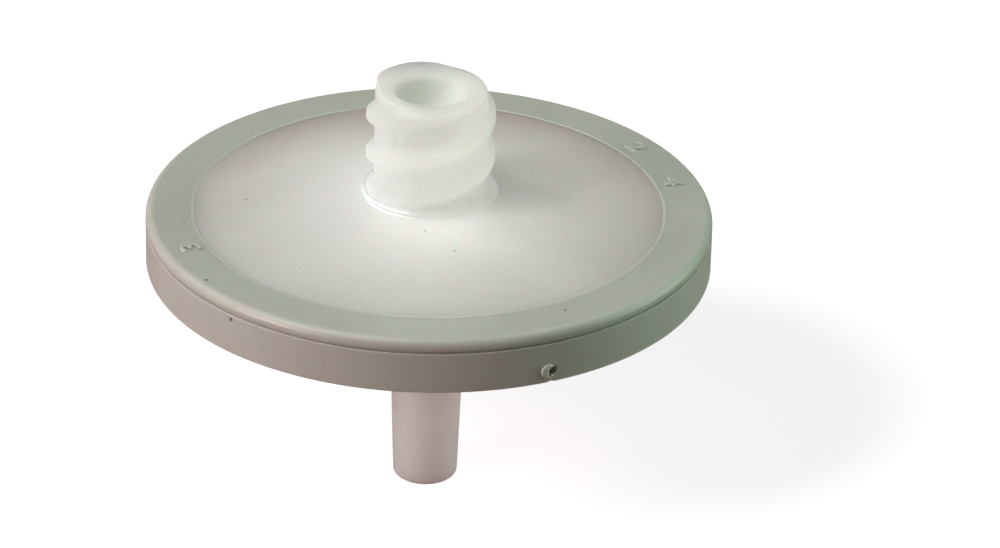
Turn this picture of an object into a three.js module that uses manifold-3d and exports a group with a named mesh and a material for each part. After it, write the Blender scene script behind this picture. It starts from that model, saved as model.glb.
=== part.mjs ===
// Syringe filter of the 30 mm class: an inlet half with a female luer lock, a filter membrane and an
// outlet half with a male luer slip, held together by a ring moulded round both rims.
// Millimetres, +Z up. The origin is the centre of the outlet tip's end face, on the flow axis.

import * as THREE from 'three';
import { mergeVertices } from 'three/addons/utils/BufferGeometryUtils.js';
import Module from 'manifold-3d';

const wasm = await Module();
wasm.setup();

// Driving dimensions.
const SEGMENTS = 60; // facets round every revolved face
const ARC_STEPS = 2; // a rounded corner has twice as many chords

const RING_R = 17;
const RING_HEIGHT = 3.4;
const RING_BASE_Z = 14.8; // height of the ring's underside above the outlet tip
const RING_TOP_Z = RING_BASE_Z + RING_HEIGHT;
const WINDOW_R = 14.05; // opening of the ring, the same on both faces
const LIP_THICKNESS = 0.6; // ring material above and below the clamped rims
const FACE_RECESS = 0.15; // the housing faces lie this far inside the ring's faces

const RIM_R = 16; // outer radius of both housing halves
const CHAMBER_R = 13.6; // radius of the wetted chamber on each side of the membrane
const MEMBRANE_R = 15.2;
const MEMBRANE_THICKNESS = 0.15;
const MEMBRANE_BASE_Z = 16.4; // also the plane where the two halves meet
const MEMBRANE_TOP_Z = MEMBRANE_BASE_Z + MEMBRANE_THICKNESS;
const MEMBRANE_CLEARANCE = 0.1; // radial play of the membrane in its seat
const CHAMBER_DEPTH = 0.5;

const TOWER_TOP_Z = 26.2;
const TOWER_R = 3.36; // root of the thread
const COLLAR_R = 3.95;
const COLLAR_TOP_Z = RING_TOP_Z + 1.5;
const COLLAR_HEIGHT = 0.35;
const LUER_TAPER = 0.03; // change of radius per unit of length, the 6 % luer cone
const LUER_MOUTH_R = 2.15;
const LUER_DEPTH = 7.5;
const LUER_LEAD_IN = 0.2;
const FEED_HOLE_R = 0.9;

const THREAD_LEAD = 5; // right-hand, two starts
const THREAD_STARTS = 2;
const THREAD_HEIGHT = 0.5;
const THREAD_FOOT = 1.5; // axial width of a ridge at the root
const THREAD_CREST = 0.5; // axial width of its flat top
const THREAD_CREST_Z = 24.4; // height of the first ridge at the -X side
const THREAD_STEPS_PER_TURN = SEGMENTS; // so that the ridges' facets meet the tower's edge on edge

const SLIP_TIP_R = 1.96;
const SLIP_LENGTH = 9.9;
const SLIP_BORE_R = 1;
const HUB_R = 3;

// Plastics: translucent natural polypropylene, and the white membrane.
const INLET_COLOR = 0xd9dad1;
const OUTLET_COLOR = 0xcfc8be;
const RING_COLOR = 0xa9aea3;
const MEMBRANE_COLOR = 0xf4f4f0;

// Turns a closed outline, drawn anticlockwise as (radius, height), round the Z axis. An outline begins
// with a line, because a path drops the point that it was moved to when an arc comes first.
function revolve(outline) {
  const geometry = new THREE.LatheGeometry(outline.getPoints(ARC_STEPS), SEGMENTS);
  return geometry.rotateX(Math.PI / 2);
}

// A closed geometry as a solid for joining and cutting, without the triangles that collapse on the axis.
function toSolid(geometry) {
  geometry.deleteAttribute('normal');
  geometry.deleteAttribute('uv');
  const merged = mergeVertices(geometry, 1e-5);
  const corners = merged.index.array;
  const kept = [];
  for (let i = 0; i < corners.length; i += 3) {
    const [a, b, c] = corners.slice(i, i + 3);
    if (a !== b && b !== c && c !== a) kept.push(a, b, c);
  }
  const mesh = new wasm.Mesh({
    numProp: 3,
    vertProperties: new Float32Array(merged.attributes.position.array),
    triVerts: new Uint32Array(kept),
  });
  return new wasm.Manifold(mesh);
}

// A solid as a three.js geometry.
function toGeometry(solid) {
  const { vertProperties, triVerts } = solid.getMesh();
  const geometry = new THREE.BufferGeometry();
  geometry.setAttribute('position', new THREE.BufferAttribute(vertProperties, 3));
  geometry.setIndex(new THREE.BufferAttribute(triVerts, 1));
  geometry.computeVertexNormals();
  return geometry;
}

function namedPiece(name, solid, color, roughness) {
  const material = new THREE.MeshStandardMaterial({ color, roughness, metalness: 0 });
  const piece = new THREE.Mesh(toGeometry(solid), material);
  piece.name = name;
  return piece;
}

// The C-section that wraps both rims: its two lips reach in over them as far as the windows, and its top
// edge is a round nose that ends at the fine groove where the mould halves part.
function ringSolid() {
  const nose = 0.5;
  const corner = 0.12;
  const grooveZ = RING_TOP_Z - 0.76;
  const grooveDepth = 0.1;
  const grooveHalf = 0.1;
  const outline = new THREE.Path();
  outline.moveTo(WINDOW_R, RING_BASE_Z);
  outline.lineTo(RING_R - corner, RING_BASE_Z);
  outline.absarc(RING_R - corner, RING_BASE_Z + corner, corner, -Math.PI / 2, 0);
  outline.lineTo(RING_R, grooveZ - grooveHalf);
  outline.lineTo(RING_R - grooveDepth, grooveZ);
  outline.lineTo(RING_R, grooveZ + grooveHalf);
  outline.absarc(RING_R - nose, RING_TOP_Z - nose, nose, 0, Math.PI / 2);
  outline.lineTo(WINDOW_R, RING_TOP_Z);
  outline.lineTo(WINDOW_R, RING_TOP_Z - LIP_THICKNESS);
  outline.lineTo(RIM_R, RING_TOP_Z - LIP_THICKNESS);
  outline.lineTo(RIM_R, RING_BASE_Z + LIP_THICKNESS);
  outline.lineTo(WINDOW_R, RING_BASE_Z + LIP_THICKNESS);
  outline.closePath();
  return toSolid(revolve(outline));
}

// A round bar along the line on which the plastic entered the ring's mould.
function gateBar(innerReach, outerReach, innerRadius, outerRadius) {
  const angle = THREE.MathUtils.degToRad(-65.7);
  const bar = new THREE.CylinderGeometry(outerRadius, innerRadius, outerReach - innerReach, 12);
  bar.rotateZ(-Math.PI / 2);
  bar.translate((innerReach + outerReach) / 2, 0, RING_BASE_Z + 0.8);
  bar.rotateZ(angle);
  return toSolid(bar);
}

// The ring with the trimmed stub of its gate, and the pit that was torn in the stub's middle.
function overmouldRing() {
  const stub = gateBar(RING_R - 0.5, RING_R + 0.2, 0.5, 0.4);
  const pit = gateBar(RING_R - 0.1, RING_R + 0.3, 0.15, 0.3);
  return ringSolid().add(stub).subtract(pit);
}

// One ridge of the lock thread. The section is extruded straight in many steps, then each vertex is
// wrapped round the axis: x becomes height, y becomes radius and z the way along the helix.
function threadRidge(start) {
  const buried = 0.4;
  const flankRun = (THREAD_FOOT - THREAD_CREST) / 2 / THREAD_HEIGHT;
  const buriedHalf = THREAD_FOOT / 2 + buried * flankRun;
  const section = new THREE.Shape();
  section.moveTo(-buriedHalf, -buried);
  section.lineTo(buriedHalf, -buried);
  section.lineTo(THREAD_CREST / 2, THREAD_HEIGHT);
  section.lineTo(-THREAD_CREST / 2, THREAD_HEIGHT);
  section.closePath();

  const overrun = 1; // height of ridge hidden in the collar below and trimmed off above
  const stepRise = THREAD_LEAD / THREAD_STEPS_PER_TURN;
  const stepsBelow = Math.ceil((THREAD_CREST_Z - COLLAR_TOP_Z + overrun) / stepRise);
  const stepsAbove = Math.ceil((TOWER_TOP_Z + overrun - THREAD_CREST_Z) / stepRise);
  const steps = stepsBelow + stepsAbove;
  const ridge = new THREE.ExtrudeGeometry(section, { depth: steps, steps, bevelEnabled: false });

  const firstAngle = Math.PI + start * 2 * Math.PI / THREAD_STARTS;
  const position = ridge.attributes.position;
  for (let i = 0; i < position.count; i += 1) {
    const step = position.getZ(i) - stepsBelow;
    const angle = firstAngle + step * 2 * Math.PI / THREAD_STEPS_PER_TURN;
    const radius = TOWER_R + position.getY(i);
    const height = THREAD_CREST_Z + step * stepRise + position.getX(i);
    position.setXYZ(i, radius * Math.cos(angle), radius * Math.sin(angle), height);
  }
  return toSolid(ridge);
}

// The inlet half before its bore: rim, shallow cone, collar and a plain tower that is longer than the
// finished one, so that the threaded tower can be trimmed flat.
function inletBlank() {
  const corner = 0.12;
  const fillet = 0.3;
  const ceilingZ = MEMBRANE_TOP_Z + CHAMBER_DEPTH;
  const seatR = MEMBRANE_R + MEMBRANE_CLEARANCE;
  const outline = new THREE.Path();
  outline.moveTo(0, ceilingZ);
  outline.lineTo(CHAMBER_R, ceilingZ);
  outline.lineTo(CHAMBER_R, MEMBRANE_TOP_Z);
  outline.lineTo(seatR, MEMBRANE_TOP_Z);
  outline.lineTo(seatR, MEMBRANE_BASE_Z);
  outline.lineTo(RIM_R, MEMBRANE_BASE_Z);
  outline.lineTo(RIM_R, RING_TOP_Z - LIP_THICKNESS);
  outline.lineTo(WINDOW_R, RING_TOP_Z - LIP_THICKNESS);
  outline.lineTo(WINDOW_R, RING_TOP_Z - FACE_RECESS);
  outline.lineTo(COLLAR_R, COLLAR_TOP_Z - COLLAR_HEIGHT);
  outline.absarc(COLLAR_R - corner, COLLAR_TOP_Z - corner, corner, 0, Math.PI / 2);
  outline.absarc(TOWER_R + fillet, COLLAR_TOP_Z + fillet, fillet, -Math.PI / 2, -Math.PI, true);
  outline.lineTo(TOWER_R, TOWER_TOP_Z + 1);
  outline.lineTo(0, TOWER_TOP_Z + 1);
  return toSolid(revolve(outline));
}

// What is taken out of the inlet half: the feed hole, the luer cone with its lead-in, and all that
// stands above the tower's rim.
function inletCutter() {
  const floorZ = TOWER_TOP_Z - LUER_DEPTH;
  const floorR = LUER_MOUTH_R - LUER_DEPTH * LUER_TAPER;
  const beyond = 3;
  const outline = new THREE.Path();
  outline.moveTo(0, MEMBRANE_BASE_Z);
  outline.lineTo(FEED_HOLE_R, MEMBRANE_BASE_Z);
  outline.lineTo(FEED_HOLE_R, floorZ - 0.3);
  outline.lineTo(floorR, floorZ);
  outline.lineTo(LUER_MOUTH_R, TOWER_TOP_Z - LUER_LEAD_IN);
  outline.lineTo(LUER_MOUTH_R + LUER_LEAD_IN, TOWER_TOP_Z);
  outline.lineTo(TOWER_R + beyond, TOWER_TOP_Z);
  outline.lineTo(TOWER_R + beyond, TOWER_TOP_Z + beyond);
  outline.lineTo(0, TOWER_TOP_Z + beyond);
  return toSolid(revolve(outline));
}

// A radial rib on the chamber ceiling, which spreads the liquid over the membrane.
function spreaderRib(angle) {
  const innerR = 2;
  const outerR = 12.8;
  const width = 0.6;
  const gap = 0.05; // left above the membrane
  const buried = 0.3;
  const height = CHAMBER_DEPTH - gap + buried;
  const rib = new THREE.BoxGeometry(outerR - innerR, width, height);
  rib.translate((innerR + outerR) / 2, 0, MEMBRANE_TOP_Z + gap + height / 2);
  rib.rotateZ(angle);
  return toSolid(rib);
}

function inletHousing() {
  const ribCount = 12;
  let housing = inletBlank();
  for (let start = 0; start < THREAD_STARTS; start += 1) {
    housing = housing.add(threadRidge(start));
  }
  for (let i = 0; i < ribCount; i += 1) {
    housing = housing.add(spreaderRib((i + 0.5) * 2 * Math.PI / ribCount));
  }
  return housing.subtract(inletCutter());
}

function membrane() {
  const outline = new THREE.Path();
  outline.moveTo(0, MEMBRANE_BASE_Z);
  outline.lineTo(MEMBRANE_R, MEMBRANE_BASE_Z);
  outline.lineTo(MEMBRANE_R, MEMBRANE_TOP_Z);
  outline.lineTo(0, MEMBRANE_TOP_Z);
  return toSolid(revolve(outline));
}

// The outlet half before its drains: male luer slip, hub, shallow cone, rim, and the concentric ribs
// that hold the membrane flat.
function outletBlank() {
  const tipEdge = 0.35;
  const slipRootR = SLIP_TIP_R + SLIP_LENGTH * LUER_TAPER;
  const shoulder = HUB_R - slipRootR;
  const fillet = 0.6;
  const hubTopZ = RING_BASE_Z - 1.05;
  const floorZ = MEMBRANE_BASE_Z - CHAMBER_DEPTH;
  const ribWidth = 0.7;
  const ribPitch = 2.7;
  const outerRibR = 12.2;
  const ribs = 4;
  const wellR = 1.9;

  const outline = new THREE.Path();
  outline.moveTo(SLIP_BORE_R, 0);
  outline.lineTo(SLIP_TIP_R - tipEdge, 0);
  outline.absarc(SLIP_TIP_R - tipEdge, tipEdge, tipEdge, -Math.PI / 2, 0);
  outline.lineTo(slipRootR, SLIP_LENGTH);
  outline.lineTo(HUB_R, SLIP_LENGTH + shoulder);
  outline.absarc(HUB_R + fillet, hubTopZ - fillet, fillet, Math.PI, Math.PI / 2, true);
  outline.lineTo(WINDOW_R, RING_BASE_Z + FACE_RECESS);
  outline.lineTo(WINDOW_R, RING_BASE_Z + LIP_THICKNESS);
  outline.lineTo(RIM_R, RING_BASE_Z + LIP_THICKNESS);
  outline.lineTo(RIM_R, MEMBRANE_BASE_Z);
  outline.lineTo(CHAMBER_R, MEMBRANE_BASE_Z);
  outline.lineTo(CHAMBER_R, floorZ);
  for (let i = 0; i < ribs; i += 1) {
    const ribR = outerRibR - i * ribPitch;
    outline.lineTo(ribR + ribWidth / 2, floorZ);
    outline.lineTo(ribR + ribWidth / 2, MEMBRANE_BASE_Z);
    outline.lineTo(ribR - ribWidth / 2, MEMBRANE_BASE_Z);
    outline.lineTo(ribR - ribWidth / 2, floorZ);
  }
  outline.lineTo(wellR, floorZ);
  outline.lineTo(SLIP_BORE_R + 0.15, floorZ - 0.75);
  outline.closePath();
  return toSolid(revolve(outline));
}

// A slot across the whole floor, which opens two opposite drains through the ribs to the bore.
function drainSlot(angle) {
  const reach = 13.2;
  const width = 1;
  const depth = CHAMBER_DEPTH + 0.1;
  const above = 0.4;
  const slot = new THREE.BoxGeometry(2 * reach, width, depth + above);
  slot.translate(0, 0, MEMBRANE_BASE_Z - depth + (depth + above) / 2);
  slot.rotateZ(angle);
  return toSolid(slot);
}

function outletHousing() {
  const slots = 4;
  let housing = outletBlank();
  for (let i = 0; i < slots; i += 1) {
    housing = housing.subtract(drainSlot(i * Math.PI / slots));
  }
  return housing;
}

const syringeFilter = new THREE.Group();
syringeFilter.name = 'syringe_filter';
syringeFilter.add(namedPiece('outlet_housing', outletHousing(), OUTLET_COLOR, 0.42));
syringeFilter.add(namedPiece('membrane', membrane(), MEMBRANE_COLOR, 0.9));
syringeFilter.add(namedPiece('inlet_housing', inletHousing(), INLET_COLOR, 0.4));
syringeFilter.add(namedPiece('overmould_ring', overmouldRing(), RING_COLOR, 0.45));

export default syringeFilter;
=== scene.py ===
from math import atan2, cos, hypot, pi, radians, sin, tan

import bmesh
import bpy
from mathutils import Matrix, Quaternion, Vector


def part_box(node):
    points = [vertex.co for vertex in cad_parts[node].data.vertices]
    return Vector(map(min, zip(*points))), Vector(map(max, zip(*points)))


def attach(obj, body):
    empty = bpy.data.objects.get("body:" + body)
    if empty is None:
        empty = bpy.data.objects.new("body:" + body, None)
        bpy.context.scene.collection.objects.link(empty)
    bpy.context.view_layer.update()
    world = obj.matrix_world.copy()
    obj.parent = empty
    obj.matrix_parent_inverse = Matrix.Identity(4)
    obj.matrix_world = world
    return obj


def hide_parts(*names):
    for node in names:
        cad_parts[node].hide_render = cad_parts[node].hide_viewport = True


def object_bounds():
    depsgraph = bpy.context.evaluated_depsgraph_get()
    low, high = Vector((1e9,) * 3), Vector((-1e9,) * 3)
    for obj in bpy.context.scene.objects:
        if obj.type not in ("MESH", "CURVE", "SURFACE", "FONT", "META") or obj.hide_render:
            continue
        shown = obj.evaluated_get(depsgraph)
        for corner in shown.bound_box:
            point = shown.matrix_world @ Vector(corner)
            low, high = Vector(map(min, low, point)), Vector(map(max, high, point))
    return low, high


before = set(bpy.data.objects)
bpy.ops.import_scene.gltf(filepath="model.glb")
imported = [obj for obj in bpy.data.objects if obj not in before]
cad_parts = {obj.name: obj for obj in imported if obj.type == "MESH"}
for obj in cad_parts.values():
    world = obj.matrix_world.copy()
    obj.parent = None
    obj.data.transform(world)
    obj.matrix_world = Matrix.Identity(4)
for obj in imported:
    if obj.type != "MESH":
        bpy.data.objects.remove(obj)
cad_low, cad_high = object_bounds()

MM = 0.001


# ---- Camera ----
# A long lens looks down on the filter from the front, an arm's length away and turned slightly, with
# room left on the right for the disc's shadow.

ring_low, ring_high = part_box("overmould_ring")
camera_distance = 309.1 * MM  # from the middle of the ring's top face
camera_elevation = radians(26.85)
camera_aim = Vector((4.33 * MM, 0, 13.74 * MM))
camera_roll = radians(1.445)

camera_place = Vector((
    0,
    -camera_distance * cos(camera_elevation),
    ring_high.z + camera_distance * sin(camera_elevation),
))
camera_turn = (camera_aim - camera_place).to_track_quat("-Z", "Y") @ Quaternion((0, 0, 1), camera_roll)
bpy.ops.object.camera_add(location=camera_place, rotation=camera_turn.to_euler())
camera = bpy.context.object
camera.data.lens = 185.5
camera.data.sensor_width = 36
camera.data.clip_start = 10 * MM
camera.data.clip_end = 10
bpy.context.scene.camera = camera


# ---- Floor and backdrop ----
# White paper on a light table, level with the end of the outlet tip. The glow keeps the paper white and
# the shadow faint, and comes up to the object from below the horizon.

def new_material(name):
    material = bpy.data.materials.new(name)
    material.use_nodes = True
    return material


def shader_of(material):
    return material.node_tree.nodes["Principled BSDF"]


def feed(tree, socket, value):
    """Links a socket to another node's output, or sets it to a plain value."""
    if isinstance(value, bpy.types.NodeSocket):
        tree.links.new(value, socket)
    else:
        socket.default_value = value


def add_node(tree, kind, **inputs):
    """Adds a shader node and feeds its inputs, which are named with _ for a space, or _0, _1."""
    node = tree.nodes.new(kind)
    for name, value in inputs.items():
        key = int(name[1:]) if name[1:].isdigit() else name.replace("_", " ")
        feed(tree, node.inputs[key], value)
    return node


def maths(tree, operation, *values):
    node = add_node(tree, "ShaderNodeMath", **{f"_{i}": value for i, value in enumerate(values)})
    node.operation = operation
    return node.outputs[0]


floor_size = 4
floor_white = (0.86, 0.86, 0.86, 1)
floor_glow = 0.87
table_glow = 0.19
table_glow_colour = (1, 0.55, 0.55, 1)

bpy.ops.mesh.primitive_plane_add(size=floor_size, location=(0, 0, cad_low.z))
floor = bpy.context.object
floor.name = "floor"
floor_paper = new_material("floor_paper")
shader_of(floor_paper).inputs["Base Color"].default_value = floor_white
shader_of(floor_paper).inputs["Roughness"].default_value = 0.9
shader_of(floor_paper).inputs["Specular IOR Level"].default_value = 0
shader_of(floor_paper).inputs["Emission Color"].default_value = (1, 1, 1, 1)
shader_of(floor_paper).inputs["Emission Strength"].default_value = floor_glow
floor_paper.cycles.emission_sampling = "NONE"
floor.data.materials.append(floor_paper)
floor.visible_diffuse = False
floor.visible_glossy = False
floor.visible_shadow = False

world = bpy.data.worlds.new("studio")
bpy.context.scene.world = world
world.use_nodes = True
background = world.node_tree.nodes["Background"]
background.inputs["Color"].default_value = table_glow_colour
direction = add_node(world.node_tree, "ShaderNodeTexCoord").outputs["Generated"]
height = add_node(world.node_tree, "ShaderNodeSeparateXYZ", Vector=direction).outputs["Z"]
below_horizon = maths(world.node_tree, "LESS_THAN", height, 0.0)
world.node_tree.links.new(maths(world.node_tree, "MULTIPLY", below_horizon, table_glow),
                          background.inputs["Strength"])
bpy.context.scene.view_settings.view_transform = "Standard"
bpy.context.scene.cycles.max_bounces = 28
bpy.context.scene.cycles.diffuse_bounces = 24  # light has to find its way through milky walls


# ---- Studio lights ----
# Soft boxes stand round the table, a metre off, and all of them face the disc. The low ones are flagged:
# some reach only the ring and some only the housings. Two small ones only make glints, and one lights the
# paper alone and casts the disc's shadow. Two narrow beams from the front lift the tower and the tip.

light_target = Vector((0, 0, ring_high.z))
light_distance = 1
paper = bpy.data.collections.new("paper")
paper.objects.link(floor)
whole_filter = bpy.data.collections.new("whole_filter")
ring_only = bpy.data.collections.new("ring_only")
housings = bpy.data.collections.new("housings")


def add_lamp(kind, name, azimuth, elevation, aim, distance, power, colour, lit):
    """Stands a lamp off from the point that it faces, and sets which pieces it lights."""
    turn = radians(azimuth)
    rise = radians(elevation)
    away = Vector((cos(turn) * cos(rise), sin(turn) * cos(rise), sin(rise))) * distance
    facing = away.to_track_quat("Z", "Y").to_euler()
    bpy.ops.object.light_add(type=kind, location=aim + away, rotation=facing)
    lamp = bpy.context.object
    lamp.name = name
    lamp.data.energy = power
    lamp.data.color = colour
    lamp.light_linking.receiver_collection = lit
    return lamp


def soft_box(name, azimuth, elevation, size, power, colour, lit=whole_filter, glints_only=False):
    """A round soft box: two angles in degrees, a size in metres and a power in watts."""
    lamp = add_lamp("AREA", name, azimuth, elevation, light_target, light_distance, power, colour, lit)
    lamp.data.shape = "DISK"
    lamp.data.size = size
    lamp.visible_diffuse = not glints_only


soft_box("left_key", 205, 64, 1, 5.45, (0.96, 1, 0.9))
soft_box("left_core", 200, 50, 0.18, 1.4, (1, 0.95, 0.95))
soft_box("left_back", 160, 33, 0.15, 1, (1, 1, 0.95))
soft_box("right_high", 22, 55, 0.8, 2, (0.95, 1, 0.85))
soft_box("left_wall", 205, 10, 0.4, 6, (1, 0.8, 0.74), lit=ring_only)
soft_box("right_wall", 5, 8, 0.8, 5.6, (0.68, 1, 0.75), lit=ring_only)
soft_box("left_low", 210, 10, 0.8, 4.1, (1, 0.94, 0.88), lit=housings)
soft_box("right_low", 5, 8, 0.8, 4.2, (0.95, 0.97, 0.88), lit=housings)
soft_box("back_glint", 160, 33, 0.15, 60, (1, 1, 1), lit=housings, glints_only=True)
soft_box("side_glint", 200, 50, 0.15, 60, (1, 1, 1), lit=housings, glints_only=True)
soft_box("paper_lamp", 213, 41, 0.5, 6, (1, 1, 1), lit=paper)


beam_angle = radians(1)
tower_spot_z = ring_high.z + 3.9 * MM
tip_spot_z = cad_low.z + 3.7 * MM


def snoot(name, azimuth, elevation, spot_z, distance, power, colour):
    """A lamp with a tube on it, whose narrow beam with a soft edge meets one spot of the flow axis."""
    spot = Vector((0, 0, spot_z))
    lamp = add_lamp("SPOT", name, azimuth, elevation, spot, distance, power, colour, whole_filter)
    lamp.data.spot_size = beam_angle
    lamp.data.spot_blend = 1
    lamp.data.shadow_soft_size = 2 * MM
    lamp.visible_glossy = False


snoot("tower_snoot", 287, 12, tower_spot_z, 0.5, 5.2, (1, 0.95, 0.8))
snoot("tip_snoot", 270, 5, tip_spot_z, 0.6, 2.6, (1, 0.87, 0.76))


# ---- Outlet housing ----
# The lower half is one injection moulding in natural polypropylene: a male luer slip, a hub and a
# shallow cone out to the rim, with concentric ribs and eight drains inside that carry the membrane.

round_steps = 240  # facets round every turned face, the same on each piece so that touching faces meet
same_place = 0.002 * MM  # points closer than this are one


def select_only(piece):
    bpy.ops.object.select_all(action="DESELECT")
    piece.select_set(True)
    bpy.context.view_layer.objects.active = piece


def edit_all(piece):
    """Puts a piece in edit mode with all of it selected."""
    select_only(piece)
    bpy.ops.object.mode_set(mode="EDIT")
    bpy.ops.mesh.select_mode(type="VERT")
    bpy.ops.mesh.select_all(action="SELECT")


def select_vertices(piece, wanted):
    """Selects the vertices whose place passes a test, and all edges between them."""
    bpy.ops.mesh.select_all(action="DESELECT")
    mesh = bmesh.from_edit_mesh(piece.data)
    for vertex in mesh.verts:
        vertex.select = wanted(vertex.co)
    mesh.select_flush_mode()
    bmesh.update_edit_mesh(piece.data)


def draw_section(name, corners):
    """Draws a closed half-section corner by corner; a corner is (radius, height) or also has a rounding
    radius and its number of chords. Lengths are in millimetres."""
    bpy.ops.object.select_all(action="DESELECT")
    bpy.ops.mesh.primitive_plane_add(size=1 * MM, enter_editmode=True)
    piece = bpy.context.object
    piece.name = name
    bpy.ops.mesh.merge(type="CENTER")
    pen = Vector((0, 0, 0))
    for i, corner in enumerate(corners):
        step = Vector((corner[0], 0, corner[1])) * MM - pen
        if i == 0:
            bpy.ops.transform.translate(value=step)
        else:
            bpy.ops.mesh.extrude_vertices_move(TRANSFORM_OT_translate={"value": step})
        pen += step
    bpy.ops.mesh.select_all(action="SELECT")
    bpy.ops.mesh.edge_face_add()

    count = len(corners)
    for i, corner in enumerate(corners):
        if len(corner) == 2:
            continue
        here = Vector((corner[0], 0, corner[1])) * MM
        before = Vector((corners[i - 1][0], 0, corners[i - 1][1])) * MM - here
        after = Vector((corners[(i + 1) % count][0], 0, corners[(i + 1) % count][1])) * MM - here
        cut = corner[2] * MM / tan(before.angle(after) / 2)
        select_vertices(piece, lambda place: (place - here).length < same_place)
        bpy.ops.mesh.bevel(offset=cut, segments=corner[3], affect="VERTICES", clamp_overlap=True)
    bpy.ops.mesh.select_all(action="SELECT")
    bpy.ops.mesh.delete(type="ONLY_FACE")
    return piece


def spin_section(piece):
    """Turns the section round the flow axis into a closed body."""
    bpy.ops.mesh.select_all(action="SELECT")
    bpy.ops.mesh.spin(steps=round_steps, angle=2 * pi, center=(0, 0, 0), axis=(0, 0, 1))
    bpy.ops.mesh.select_all(action="SELECT")
    bpy.ops.mesh.remove_doubles(threshold=0.0005 * MM)
    bpy.ops.mesh.normals_make_consistent(inside=False)
    bpy.ops.object.mode_set(mode="OBJECT")


def apply_modifier(piece, kind, **settings):
    select_only(piece)
    modifier = piece.modifiers.new(kind.lower(), kind)
    for setting, value in settings.items():
        setattr(modifier, setting, value)
    bpy.ops.object.modifier_apply(modifier=modifier.name)


def boolean(piece, tool, operation):
    apply_modifier(piece, "BOOLEAN", object=tool, operation=operation, solver="MANIFOLD")
    bpy.data.objects.remove(tool)


def place_in_mesh(piece):
    """Leaves the object at the origin, unturned, with its place in its mesh."""
    select_only(piece)
    bpy.ops.object.transform_apply(location=True, rotation=True, scale=True)


def finish_faces(piece, sharp_above):
    """Smooth faces with true flats: edges above an angle stay sharp, and large faces set the normals."""
    select_only(piece)
    bpy.ops.object.shade_smooth_by_angle(angle=radians(sharp_above))
    apply_modifier(piece, "WEIGHTED_NORMAL", mode="FACE_AREA", weight=50, keep_sharp=True)


outlet_low, outlet_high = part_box("outlet_housing")
inlet_low, inlet_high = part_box("inlet_housing")
tip_z = outlet_low.z / MM
ring_base_z = ring_low.z / MM
ring_top_z = ring_high.z / MM
rim_r = outlet_high.x / MM
parting_z = inlet_low.z / MM  # where the two halves meet
window_r = 14.05
lip_thickness = 0.6
chamber_r = 13.6
chamber_depth = 0.5
bore_r = 1
tip_r = 1.96
slip_length = 9.9
slip_root_r = tip_r + 0.03 * slip_length  # the 6 % luer cone
hub_r = 3
hub_top_z = ring_base_z - 1.05
outlet_floor_z = parting_z - chamber_depth

outlet_section = [
    (bore_r, tip_z, 0.1, 2),
    (tip_r, tip_z, 0.35, 6),
    (slip_root_r, tip_z + slip_length, 0.3, 3),
    (hub_r, tip_z + slip_length + hub_r - slip_root_r, 0.3, 3),
    (hub_r, hub_top_z, 0.6, 6),
    (window_r, ring_base_z, 0.1, 3),
    (window_r, ring_base_z + lip_thickness),
    (rim_r, ring_base_z + lip_thickness, 0.1, 2),
    (rim_r, parting_z),
    (chamber_r, parting_z, 0.05, 2),
    (chamber_r, outlet_floor_z, 0.1, 2),
]
membrane_rib_count = 4
membrane_rib_width = 0.7
membrane_rib_pitch = 2.7
outer_rib_r = 12.2
for i in range(membrane_rib_count):
    rib_r = outer_rib_r - i * membrane_rib_pitch
    outlet_section += [
        (rib_r + membrane_rib_width / 2, outlet_floor_z, 0.08, 2),
        (rib_r + membrane_rib_width / 2, parting_z, 0.08, 2),
        (rib_r - membrane_rib_width / 2, parting_z, 0.08, 2),
        (rib_r - membrane_rib_width / 2, outlet_floor_z, 0.08, 2),
    ]
funnel_r = 1.9
funnel_depth = 0.75
outlet_section += [
    (funnel_r, outlet_floor_z, 0.2, 3),
    (bore_r + 0.15, outlet_floor_z - funnel_depth, 0.2, 3),
]
outlet_housing = draw_section("outlet_housing_moulding", outlet_section)
spin_section(outlet_housing)

drain_bars = 4  # each goes right across, and so cuts two drains
drain_length = 26.4
drain_width = 1
drain_depth = chamber_depth + 0.1
for i in range(drain_bars):
    bpy.ops.mesh.primitive_cube_add(size=1, rotation=(0, 0, i * pi / drain_bars))
    drain = bpy.context.object
    drain.scale = (drain_length * MM, drain_width * MM, 2 * drain_depth * MM)
    drain.location.z = parting_z * MM
    place_in_mesh(drain)
    boolean(outlet_housing, drain, "DIFFERENCE")
finish_faces(outlet_housing, 35)


def blend_colours(tree, share, colour_a, colour_b, blend_type="MIX"):
    node = tree.nodes.new("ShaderNodeMix")
    node.data_type = "RGBA"
    node.blend_type = blend_type
    for index, value in ((0, share), (6, colour_a), (7, colour_b)):
        feed(tree, node.inputs[index], value)
    return node.outputs[2]


def ramp(tree, value, start, end, low=0.0, high=1.0):
    """Goes evenly from low to high as a value goes from start to end, and no further."""
    node = add_node(tree, "ShaderNodeMapRange", Value=value, From_Min=start, From_Max=end, To_Min=low,
                    To_Max=high)
    return node.outputs[0]


def vector_maths(tree, operation, *values):
    node = add_node(tree, "ShaderNodeVectorMath", **{f"_{i}": value for i, value in enumerate(values)})
    node.operation = operation
    return node.outputs["Value" if operation in ("LENGTH", "DISTANCE") else "Vector"]


def new_group(name, inputs, outputs):
    """A shader node group; inputs and outputs are lists of (socket name, socket kind)."""
    group = bpy.data.node_groups.new(name, "ShaderNodeTree")
    for socket, kind in inputs:
        group.interface.new_socket(socket, in_out="INPUT", socket_type=kind)
    for socket, kind in outputs:
        group.interface.new_socket(socket, in_out="OUTPUT", socket_type=kind)
    return group, group.nodes.new("NodeGroupInput").outputs, group.nodes.new("NodeGroupOutput").inputs


def place_group(tree, group, **inputs):
    node = tree.nodes.new("ShaderNodeGroup")
    node.node_tree = group
    for name, value in inputs.items():
        feed(tree, node.inputs[name.replace("_", " ")], value)
    return node.outputs


def object_place(tree):
    return tree.nodes.new("ShaderNodeTexCoord").outputs["Object"]


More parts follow.
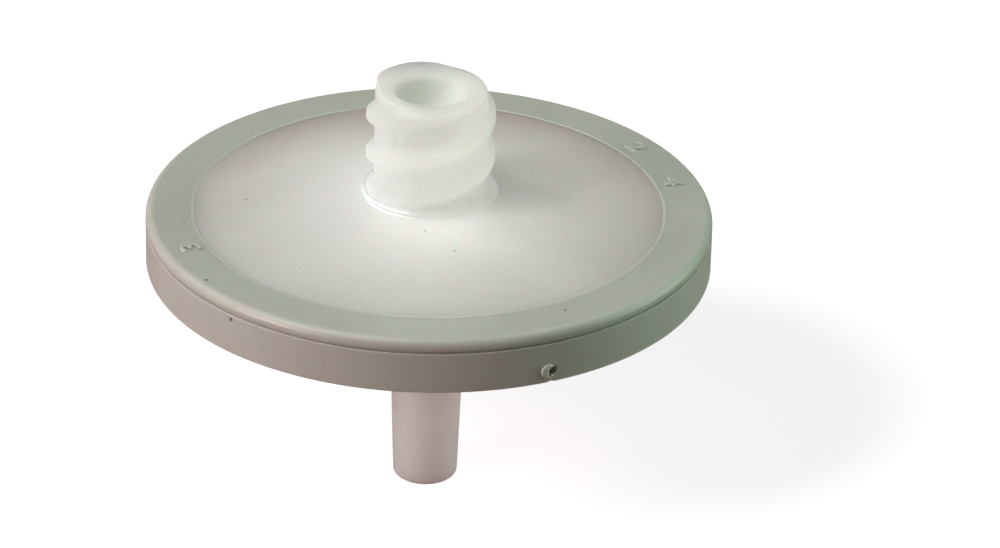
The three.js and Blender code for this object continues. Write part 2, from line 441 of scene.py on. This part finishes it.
def noise(tree, scale, detail, roughness=0.5):
    node = add_node(tree, "ShaderNodeTexNoise", Vector=object_place(tree), Scale=scale, Detail=detail,
                    Roughness=roughness)
    return node.outputs["Fac"]


# Two colours in soft clouds, as pigment and skin vary over a moulding, with blushes of pink and green and
# fine specks.
clouds, clouds_in, clouds_out = new_group(
    "clouded_colour",
    [("Light", "NodeSocketColor"), ("Dark", "NodeSocketColor"), ("Cloud Scale", "NodeSocketFloat")],
    [("Colour", "NodeSocketColor")],
)
green_blush = (0.975, 1, 0.985, 1)
pink_blush = (1, 0.965, 0.98, 1)
grey_speck = (0.95, 0.95, 0.95, 1)
plain = (1, 1, 1, 1)
cloud_share = ramp(clouds, noise(clouds, clouds_in["Cloud Scale"], 4.0, 0.6), 0.25, 0.75)
blush_share = ramp(clouds, noise(clouds, 1100.0, 3.0), 0.38, 0.62)
speck_share = ramp(clouds, noise(clouds, 9000.0, 2.0), 0.35, 0.65)
cloud_colour = blend_colours(clouds, cloud_share, clouds_in["Dark"], clouds_in["Light"])
blushes = blend_colours(clouds, blush_share, green_blush, pink_blush)
specks = blend_colours(clouds, speck_share, grey_speck, plain)
blushed = blend_colours(clouds, 1.0, cloud_colour, blushes, "MULTIPLY")
clouds.links.new(blend_colours(clouds, 1.0, blushed, specks, "MULTIPLY"), clouds_out["Colour"])

# The skin of a moulding: a fine grain from the mould and slow waves where the wall has sunk.
skin, skin_in, skin_out = new_group(
    "moulded_skin",
    [("Grain Scale", "NodeSocketFloat"), ("Grain", "NodeSocketFloat"), ("Sink", "NodeSocketFloat")],
    [("Height", "NodeSocketFloat"), ("Variation", "NodeSocketFloat")],
)
sink_waves = noise(skin, 260.0, 2.0)
grain_height = maths(skin, "MULTIPLY", noise(skin, skin_in["Grain Scale"], 3.0, 0.55), skin_in["Grain"])
sink_height = maths(skin, "MULTIPLY", sink_waves, skin_in["Sink"])
skin.links.new(maths(skin, "ADD", grain_height, sink_height), skin_out["Height"])
skin.links.new(sink_waves, skin_out["Variation"])

# A fleck of dust in the skin, soft at its edge.
fleck, fleck_in, fleck_out = new_group(
    "fleck",
    [("Middle", "NodeSocketVector"), ("Size", "NodeSocketFloat")],
    [("Share", "NodeSocketFloat")],
)
off_fleck = vector_maths(fleck, "DISTANCE", object_place(fleck), fleck_in["Middle"])
fleck_core = maths(fleck, "MULTIPLY", fleck_in["Size"], 0.4)
fleck.links.new(ramp(fleck, off_fleck, fleck_in["Size"], fleck_core), fleck_out["Share"])


def add_flecks(tree, colour, flecks, fleck_colour):
    """Darkens a colour at each fleck, given as its distance out, azimuth, height and radius."""
    for out, azimuth, height, radius in flecks:
        turn = radians(azimuth)
        middle = (out * cos(turn) * MM, out * sin(turn) * MM, height * MM)
        share = place_group(tree, fleck, Middle=middle, Size=radius * MM)["Share"]
        colour = blend_colours(tree, share, colour, fleck_colour)
    return colour


def dress(piece, material):
    """Gives a piece its one material, in place of the empty slot that a boolean leaves."""
    piece.data.materials.clear()
    piece.data.materials.append(material)


def milky_plastic(name, light, dark, depth, forward, roughness):
    """Translucent polypropylene: light wanders about depth millimetres, bending on by forward, under a skin
    of soft gloss. Gives the material, its tree and its colour, with the clouds and the skin in place."""
    material = new_material(name)
    tree = material.node_tree
    shader = shader_of(material)
    colour = place_group(tree, clouds, Light=light, Dark=dark, Cloud_Scale=700.0)["Colour"]
    surface = place_group(tree, skin, Grain_Scale=6000.0, Grain=0.5, Sink=1.0)
    bump = add_node(tree, "ShaderNodeBump", Height=surface["Height"], Distance=0.02 * MM)
    gloss = ramp(tree, surface["Variation"], 0.3, 0.7, roughness - 0.05, roughness + 0.05)
    tree.links.new(colour, shader.inputs["Base Color"])
    tree.links.new(gloss, shader.inputs["Roughness"])
    tree.links.new(bump.outputs[0], shader.inputs["Normal"])
    shader.inputs["IOR"].default_value = 1.49
    shader.inputs["Subsurface Weight"].default_value = 1
    shader.inputs["Subsurface Radius"].default_value = (1, 0.95, 0.85)
    shader.inputs["Subsurface Scale"].default_value = depth * MM
    shader.inputs["Subsurface Anisotropy"].default_value = forward
    return material, tree, colour


outlet_light = (0.985, 0.98, 0.97, 1)
outlet_dark = (0.97, 0.96, 0.95, 1)
outlet_plastic = milky_plastic(
    "outlet_polypropylene", outlet_light, outlet_dark, depth=2, forward=0, roughness=0.4)[0]
dress(outlet_housing, outlet_plastic)
housings.objects.link(outlet_housing)
whole_filter.objects.link(outlet_housing)

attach(outlet_housing, "root")
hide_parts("outlet_housing")


# ---- Membrane ----
# A disc of white microporous membrane, punched from sheet and clamped dry between the two halves.

membrane_paper = new_material("membrane_paper")
paper_tree = membrane_paper.node_tree
paper_light = (0.98, 0.98, 0.96, 1)
paper_dark = (0.95, 0.95, 0.93, 1)
paper_colour = place_group(paper_tree, clouds, Light=paper_light, Dark=paper_dark, Cloud_Scale=900.0)
paper_skin = place_group(paper_tree, skin, Grain_Scale=9000.0, Grain=1.0, Sink=0.3)
paper_bump = add_node(paper_tree, "ShaderNodeBump", Height=paper_skin["Height"], Distance=0.01 * MM)
paper_tree.links.new(paper_colour["Colour"], shader_of(membrane_paper).inputs["Base Color"])
paper_tree.links.new(paper_bump.outputs[0], shader_of(membrane_paper).inputs["Normal"])
shader_of(membrane_paper).inputs["Roughness"].default_value = 0.95
shader_of(membrane_paper).inputs["Specular IOR Level"].default_value = 0.2
dress(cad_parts["membrane"], membrane_paper)
housings.objects.link(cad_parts["membrane"])
whole_filter.objects.link(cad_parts["membrane"])


# ---- Inlet housing ----
# The upper half is moulded in the same milky polypropylene: a shallow cone that rises to a collar and a
# threaded female luer lock, with a feed hole and radial spreader ribs over the membrane.

tower_top_z = inlet_high.z / MM
tower_r = 3.36
collar_r = 4.05
collar_top_z = ring_top_z + 1.5
collar_height = 0.28
seat_r = 15.3
membrane_top_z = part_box("membrane")[1].z / MM
ceiling_z = membrane_top_z + chamber_depth
luer_mouth_r = 2.15
luer_depth = 7.5
luer_floor_z = tower_top_z - luer_depth
luer_floor_r = luer_mouth_r - 0.03 * luer_depth
luer_floor_drop = 0.3  # the floor falls to the feed hole
feed_hole_r = 0.9
tower_fillet = 0.55
rim_round = 0.4
mouth_round = 0.65

inlet_housing = draw_section("inlet_housing_moulding", [
    (feed_hole_r, ceiling_z, 0.1, 2),
    (chamber_r, ceiling_z, 0.1, 2),
    (chamber_r, membrane_top_z, 0.05, 2),
    (seat_r, membrane_top_z),
    (seat_r, parting_z, 0.05, 2),
    (rim_r, parting_z),
    (rim_r, ring_top_z - lip_thickness, 0.1, 2),
    (window_r, ring_top_z - lip_thickness),
    (window_r, ring_top_z),
    (collar_r, collar_top_z - collar_height, 0.1, 4),
    (collar_r, collar_top_z, 0.16, 8),
    (tower_r, collar_top_z, tower_fillet, 6),
    (tower_r, tower_top_z, rim_round, 8),
    (luer_mouth_r, tower_top_z, mouth_round, 12),
    (luer_floor_r, luer_floor_z, 0.2, 3),
    (feed_hole_r, luer_floor_z - luer_floor_drop, 0.2, 3),
])

# The tower's outside is one line of the section so far, and gets rows for the thread.
tower_rows = 100
select_vertices(inlet_housing, lambda place: (
    abs(place.x - tower_r * MM) < same_place / 2
    and (collar_top_z + 0.1) * MM < place.z < (tower_top_z - 0.1) * MM
))
bpy.ops.mesh.subdivide(number_cuts=tower_rows)
spin_section(inlet_housing)

# The lock thread stands out from the tower: two right-hand ridges, half a turn apart.
thread_lead = 5
thread_starts = 2
thread_pitch = thread_lead / thread_starts
thread_height = 0.5
thread_foot = 1.65  # a ridge's width at its foot
thread_crest = 0.45  # and along its crest
thread_crest_z = 24.4  # height of the first ridge at the left side


def ridge_share(place):
    """How far a point of the tower is pushed out, from 0 between the ridges to 1 on a crest."""
    turns = (atan2(place.y, place.x) - pi) / (2 * pi)
    above_crest = place.z / MM - thread_crest_z - thread_lead * turns
    off_crest = abs((above_crest + thread_pitch / 2) % thread_pitch - thread_pitch / 2)
    flank = (thread_foot / 2 - off_crest) / ((thread_foot - thread_crest) / 2)
    flank = min(1, max(0, flank))
    return flank * flank * (3 - 2 * flank)  # eased at the foot and at the crest


thread_group = inlet_housing.vertex_groups.new(name="thread")
for vertex in inlet_housing.data.vertices:
    out = hypot(vertex.co.x, vertex.co.y) / MM
    if vertex.co.z > collar_top_z * MM - same_place / 2 and abs(out - tower_r) < rim_round + 0.001:
        to_crest = max(thread_height, tower_r + thread_height - out)
        thread_group.add([vertex.index], ridge_share(vertex.co) * thread_height / to_crest, "REPLACE")
apply_modifier(inlet_housing, "CAST", cast_type="CYLINDER", use_x=True, use_y=True, use_z=False,
               factor=1, radius=0, use_radius_as_size=False,
               size=(tower_r + thread_height) * MM, vertex_group="thread")
inlet_housing.vertex_groups.clear()

spreader_count = 12
spreader_inner_r = 2
spreader_outer_r = 12.8
spreader_width = 0.6
spreader_gap = 0.05  # left above the membrane
spreader_buried = 0.3
spreader_height = chamber_depth - spreader_gap + spreader_buried
spreaders = []
for i in range(spreader_count):
    turn = (i + 0.5) * 2 * pi / spreader_count
    bpy.ops.mesh.primitive_cube_add(size=1, rotation=(0, 0, turn))
    spreader = bpy.context.object
    spreader.scale = Vector((spreader_outer_r - spreader_inner_r, spreader_width, spreader_height)) * MM
    spreader_middle_r = (spreader_outer_r + spreader_inner_r) / 2
    spreader.location = Vector((
        spreader_middle_r * cos(turn),
        spreader_middle_r * sin(turn),
        membrane_top_z + spreader_gap + spreader_height / 2,
    )) * MM
    place_in_mesh(spreader)
    spreaders.append(spreader)
bpy.ops.object.select_all(action="DESELECT")
for spreader in spreaders:
    spreader.select_set(True)
bpy.context.view_layer.objects.active = spreaders[0]
bpy.ops.object.join()
boolean(inlet_housing, spreaders[0], "UNION")
finish_faces(inlet_housing, 50)

cone_depth = 2  # how far light wanders, in millimetres: least where the cone lies close on the membrane,
tower_depth = 12  # most in the tower's walls,
bore_depth = 2  # less into the bore, which keeps its light,
edge_depth = 0.05  # and hardly at all past the window's edge, under the ring
inlet_light = (0.985, 0.985, 0.98, 1)
inlet_dark = (0.975, 0.975, 0.97, 1)
inlet_plastic, inlet_tree, inlet_colour = milky_plastic(
    "inlet_polypropylene", inlet_light, inlet_dark, depth=cone_depth, forward=0.7, roughness=0.38)


def across_axis(tree):
    """The part of a point's place that lies across the flow axis, and its length."""
    flat = vector_maths(tree, "MULTIPLY", object_place(tree), (1, 1, 0))
    return flat, vector_maths(tree, "LENGTH", flat)


inlet_place = add_node(inlet_tree, "ShaderNodeSeparateXYZ", Vector=object_place(inlet_tree)).outputs
inlet_out, inlet_radius = across_axis(inlet_tree)
tower_share = ramp(inlet_tree, inlet_place["Z"], (collar_top_z - 0.4) * MM, (collar_top_z + 0.8) * MM)
above_collar = ramp(inlet_tree, inlet_place["Z"], collar_top_z * MM, (collar_top_z + 0.3) * MM)
mid_wall_r = luer_mouth_r + 0.6
inside = ramp(inlet_tree, inlet_radius, mid_wall_r * MM, (mid_wall_r - 0.3) * MM)
in_bore = maths(inlet_tree, "MULTIPLY", inside, above_collar)

# The cone's colour is painted shade: it greys from the tower out to the ring, where the cone is thin and
# the ring takes light away from it, and greys more at the back than at the front, as the light falls. The
# tower's colour is painted shade too, greyer at the left.
cone_middle_painted_shade = (0.925, 0.925, 0.94, 1)
rim_back_painted_shade = (0.515, 0.44, 0.435, 1)
rim_front_painted_shade = (0.68, 0.685, 0.67, 1)
tower_left_painted_shade = (0.8, 0.835, 0.815, 1)
tower_right_painted_shade = (0.915, 0.945, 0.92, 1)
front_share = ramp(inlet_tree, inlet_place["Y"], window_r * MM, -window_r * MM)
cone_rim_painted_shade = blend_colours(inlet_tree, front_share, rim_back_painted_shade, rim_front_painted_shade)
rim_share = ramp(inlet_tree, inlet_radius, collar_r * MM, window_r * MM)
cone_shade = blend_colours(inlet_tree, maths(inlet_tree, "POWER", rim_share, 1.3), cone_middle_painted_shade, cone_rim_painted_shade)
# Painted shade: the tower's colour goes greyer towards its left side.
right_share = ramp(inlet_tree, inlet_place["X"], -tower_r * MM, tower_r * MM)
tower_shade = blend_colours(inlet_tree, right_share, tower_left_painted_shade, tower_right_painted_shade)
inlet_shade = blend_colours(inlet_tree, tower_share, cone_shade, tower_shade)
inlet_shaded = blend_colours(inlet_tree, 1.0, inlet_colour, inlet_shade, "MULTIPLY")


def face_height(out):
    """Height of the cone's face at a distance from the axis."""
    rise = collar_top_z - collar_height - ring_top_z
    return ring_top_z + (window_r - out) / (window_r - collar_r) * rise


inlet_flecks = [
    (10.98, -179, face_height(10.98), 0.17),
    (5.26, -92.6, face_height(5.26), 0.1),
    (7.4, -78, face_height(7.4), 0.12),
    (11.8, 12, face_height(11.8), 0.12),
    (3.7, -105, collar_top_z + 3, 0.1),
]
inlet_fleck_colour = (0.5, 0.42, 0.38, 1)
inlet_flecked = add_flecks(inlet_tree, inlet_shaded, inlet_flecks, inlet_fleck_colour)
inlet_tree.links.new(inlet_flecked, shader_of(inlet_plastic).inputs["Base Color"])

tower_depths = ramp(inlet_tree, tower_share, 0.0, 1.0, cone_depth * MM, tower_depth * MM)
bore_depths = ramp(inlet_tree, inlet_radius, luer_mouth_r * MM, mid_wall_r * MM,
                   bore_depth * MM, tower_depth * MM)
edge_depths = ramp(inlet_tree, inlet_radius, (window_r - 0.6) * MM, (window_r - 0.1) * MM,
                   tower_depth * MM, edge_depth * MM)
wall_depths = maths(inlet_tree, "MINIMUM", tower_depths, bore_depths)
inlet_depths = maths(inlet_tree, "MINIMUM", wall_depths, edge_depths)
inlet_tree.links.new(inlet_depths, shader_of(inlet_plastic).inputs["Subsurface Scale"])

# The collar's edge is polished at the left and glints there. Elsewhere it keeps a faint sheen, as the
# tower does.
polished_roughness = 0.14
cone_sheen = 0.5
tower_sheen = 0.03
cone_gloss = shader_of(inlet_plastic).inputs["Roughness"].links[0].from_socket
on_collar = ramp(inlet_tree, inlet_place["Z"], (collar_top_z - 0.25) * MM, (collar_top_z - 0.12) * MM)
under_tower = ramp(inlet_tree, inlet_place["Z"], (collar_top_z + 0.05) * MM, (collar_top_z + 0.01) * MM)
at_left = ramp(inlet_tree, inlet_place["X"], -1 * MM, -2 * MM)
polish = maths(inlet_tree, "MULTIPLY", at_left, maths(inlet_tree, "MULTIPLY", on_collar, under_tower))
inlet_gloss = ramp(inlet_tree, polish, 0.0, 1.0, cone_gloss, polished_roughness)
plain_sheen = ramp(inlet_tree, inlet_place["Z"], (collar_top_z - 0.35) * MM, (collar_top_z - 0.2) * MM,
                   cone_sheen, tower_sheen)
inlet_sheen = maths(inlet_tree, "MAXIMUM", plain_sheen, maths(inlet_tree, "MULTIPLY", polish, cone_sheen))
inlet_tree.links.new(inlet_gloss, shader_of(inlet_plastic).inputs["Roughness"])
inlet_tree.links.new(inlet_sheen, shader_of(inlet_plastic).inputs["Specular IOR Level"])

# Fine lines run round the tower, from the turned core that shaped it.
flattened = vector_maths(inlet_tree, "MULTIPLY", object_place(inlet_tree), (0.12, 0.12, 1))
turned_lines = add_node(inlet_tree, "ShaderNodeTexNoise", Vector=flattened, Scale=4500.0, Detail=2.0)
turned_bump = add_node(inlet_tree, "ShaderNodeBump", Height=turned_lines.outputs["Fac"], Distance=0.02 * MM,
                       Strength=maths(inlet_tree, "MULTIPLY", tower_share, 0.6),
                       Normal=shader_of(inlet_plastic).inputs["Normal"].links[0].from_socket)


def lean(tree, share, normal, towards):
    """Leans a surface's normal towards another direction."""
    node = tree.nodes.new("ShaderNodeMix")
    node.data_type = "VECTOR"
    for index, value in ((0, share), (4, normal), (5, towards)):
        feed(tree, node.inputs[index], value)
    return node.outputs[1]


# Light wanders so far in the tower that its ridges and its mouth hardly shade themselves, so the outside's
# normals lean towards those of a plain cylinder, and the bore's lean upwards.
cylinder_lean = 0.6
bore_lean = 0.92
up = (0, 0, 1)
outward = vector_maths(inlet_tree, "NORMALIZE", inlet_out)
outside = ramp(inlet_tree, inlet_radius, (tower_r - 0.5) * MM, (tower_r - 0.3) * MM, 0.0, cylinder_lean)
below_rim = ramp(inlet_tree, inlet_place["Z"], (tower_top_z - 0.2) * MM, (tower_top_z - 0.6) * MM)
on_thread = maths(inlet_tree, "MULTIPLY", outside, maths(inlet_tree, "MULTIPLY", above_collar, below_rim))
tower_normal = lean(inlet_tree, on_thread, turned_bump.outputs[0], outward)
inlet_normal = lean(inlet_tree, maths(inlet_tree, "MULTIPLY", in_bore, bore_lean), tower_normal, up)
inlet_tree.links.new(inlet_normal, shader_of(inlet_plastic).inputs["Normal"])

# Painted light: the bore glows a little, deeper down the more, standing in for the light that soaks in
# through the tower's wall.
unlit = (0, 0, 0, 1)
bore_painted_light_colour = (0.96, 1, 0.93, 1)
bore_painted_light_strength = 0.152
down_bore = ramp(inlet_tree, inlet_place["Z"], (tower_top_z - 0.1) * MM, (tower_top_z - 2) * MM)
bore_painted_light_share = maths(inlet_tree, "MULTIPLY", down_bore, in_bore)
inlet_tree.links.new(blend_colours(inlet_tree, bore_painted_light_share, unlit, bore_painted_light_colour),
                     shader_of(inlet_plastic).inputs["Emission Color"])
shader_of(inlet_plastic).inputs["Emission Strength"].default_value = bore_painted_light_strength
inlet_plastic.cycles.emission_sampling = "NONE"
dress(inlet_housing, inlet_plastic)
housings.objects.link(inlet_housing)
whole_filter.objects.link(inlet_housing)

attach(inlet_housing, "root")
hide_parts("inlet_housing")


# ---- Overmoulded ring ----
# A band of grey-green polypropylene moulded round both rims after assembly, which seals and holds them.
# It has a fine bead round its top window, a witness line where the mould parted and a trimmed gate.

ring_r = ring_high.x / MM
nose = 0.5
groove_z = ring_top_z - 0.8  # a narrow groove where the mould's halves part
groove_depth = 0.14
groove_half = 0.07
bead_width = 0.22
bead_height = 0.02

ring = draw_section("overmould_ring_moulding", [
    (window_r, ring_base_z, 0.1, 3),
    (ring_r, ring_base_z, 0.12, 4),
    (ring_r, groove_z - groove_half, 0.02, 2),
    (ring_r - groove_depth, groove_z - groove_half),
    (ring_r - groove_depth, groove_z + groove_half),
    (ring_r, groove_z + groove_half, 0.06, 3),
    (ring_r, ring_top_z, nose, 10),
    (window_r + bead_width + bead_height, ring_top_z, 0.03, 2),
    (window_r + bead_width, ring_top_z + bead_height, 0.03, 2),
    (window_r, ring_top_z + bead_height, 0.03, 2),
    (window_r, ring_top_z - lip_thickness),
    (rim_r, ring_top_z - lip_thickness, 0.1, 2),
    (rim_r, ring_base_z + lip_thickness, 0.1, 2),
    (window_r, ring_base_z + lip_thickness),
])
spin_section(ring)

# Cavity numbers stand up from the ring's top, each with its head outwards.
number_height = 1.15
number_width = 1.4  # against the letter's own
number_proud = 0.12
number_sunk = 0.1
number_r = 15.2
figure_height = 0.7  # of the letter size
for number, azimuth in (("3", -157), ("2", 34), ("4", 14.5)):
    bpy.ops.object.text_add()
    mark = bpy.context.object
    mark.data.body = number
    mark.data.align_x = "CENTER"
    mark.data.align_y = "CENTER"
    mark.data.size = number_height / figure_height * MM
    mark.data.extrude = (number_proud + number_sunk) / 2 * MM
    mark.data.bevel_depth = 0.02 * MM
    mark.data.bevel_resolution = 1
    bpy.ops.object.convert(target="MESH")
    mark = bpy.context.object
    turn = radians(azimuth)
    mark.location = Vector((
        number_r * cos(turn),
        number_r * sin(turn),
        ring_top_z + (number_proud - number_sunk) / 2,
    )) * MM
    mark.rotation_euler.z = turn - pi / 2
    mark.scale.x = number_width
    place_in_mesh(mark)
    edit_all(mark)
    bpy.ops.mesh.remove_doubles(threshold=same_place)
    bpy.ops.mesh.normals_make_consistent(inside=False)
    bpy.ops.object.mode_set(mode="OBJECT")
    boolean(ring, mark, "UNION")

# The gate's stub is cut off just proud of the wall, with a pit torn in it and a nick in the edge below.
gate_azimuth = -65.7
gate_z = ring_base_z + 0.8


def bar_into_ring(azimuth, height, radius, reach_in, reach_out):
    """A short round bar that points out of the ring's wall."""
    turn = radians(azimuth)
    middle = ring_r + (reach_out - reach_in) / 2
    bpy.ops.mesh.primitive_cylinder_add(
        vertices=24, radius=radius * MM, depth=(reach_in + reach_out) * MM,
        location=(middle * cos(turn) * MM, middle * sin(turn) * MM, height * MM),
        rotation=(0, pi / 2, turn),
    )
    bar = bpy.context.object
    place_in_mesh(bar)
    return bar


gate = bar_into_ring(gate_azimuth, gate_z, radius=0.45, reach_in=0.5, reach_out=0.14)
edit_all(gate)
bpy.ops.mesh.bevel(offset=0.08 * MM, segments=2, affect="EDGES", clamp_overlap=True)
bpy.ops.object.mode_set(mode="OBJECT")
boolean(ring, gate, "UNION")
gate_pits = [
    (gate_azimuth + 0.95, gate_z, 0.3, 0.3),
    (gate_azimuth + 0.3, gate_z - 0.25, 0.14, 0.15),
    (gate_azimuth + 0.7, ring_base_z - 0.02, 0.18, 0.18),
]
for azimuth, height, radius, depth in gate_pits:
    pit = bar_into_ring(azimuth, height, radius, reach_in=depth, reach_out=0.4)
    boolean(ring, pit, "DIFFERENCE")
finish_faces(ring, 35)

ring_depth = 0.5
ring_light = (0.525, 0.545, 0.52, 1)
ring_dark = (0.51, 0.525, 0.505, 1)
ring_plastic, ring_tree, ring_colour = milky_plastic(
    "ring_polypropylene", ring_light, ring_dark, depth=ring_depth, forward=0, roughness=0.34)
ring_flecks = [
    (16.3, -142.4, ring_top_z, 0.14),
    (15.14, -58.4, ring_top_z, 0.12),
    (14.8, -170, ring_top_z, 0.1),
    (ring_r, -132, 17.06, 0.16),
]
ring_fleck_colour = (0.1, 0.11, 0.09, 1)
ring_flecked = add_flecks(ring_tree, ring_colour, ring_flecks, ring_fleck_colour)

# Round the windows the ring runs out thin over the white housings, and light hardly wanders in it. Its edge
# there is painted paler: painted light for what comes through the thin plastic.
thin_width = 0.2
thin_depth = 0.03
thin_edge_painted_light = (0.58, 0.61, 0.58, 1)
ring_radius = across_axis(ring_tree)[1]
thin_edge_light_share = ramp(ring_tree, ring_radius, (window_r + thin_width) * MM, (window_r + thin_width / 2) * MM,
                  0.0, 0.7)
ring_depths = ramp(ring_tree, ring_radius, (window_r + 0.1) * MM, (window_r + 0.5) * MM,
                   thin_depth * MM, ring_depth * MM)
ring_tree.links.new(blend_colours(ring_tree, thin_edge_light_share, ring_flecked, thin_edge_painted_light),
                    shader_of(ring_plastic).inputs["Base Color"])
ring_tree.links.new(ring_depths, shader_of(ring_plastic).inputs["Subsurface Scale"])
dress(ring, ring_plastic)
ring_only.objects.link(ring)
whole_filter.objects.link(ring)

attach(ring, "root")
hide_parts("overmould_ring")
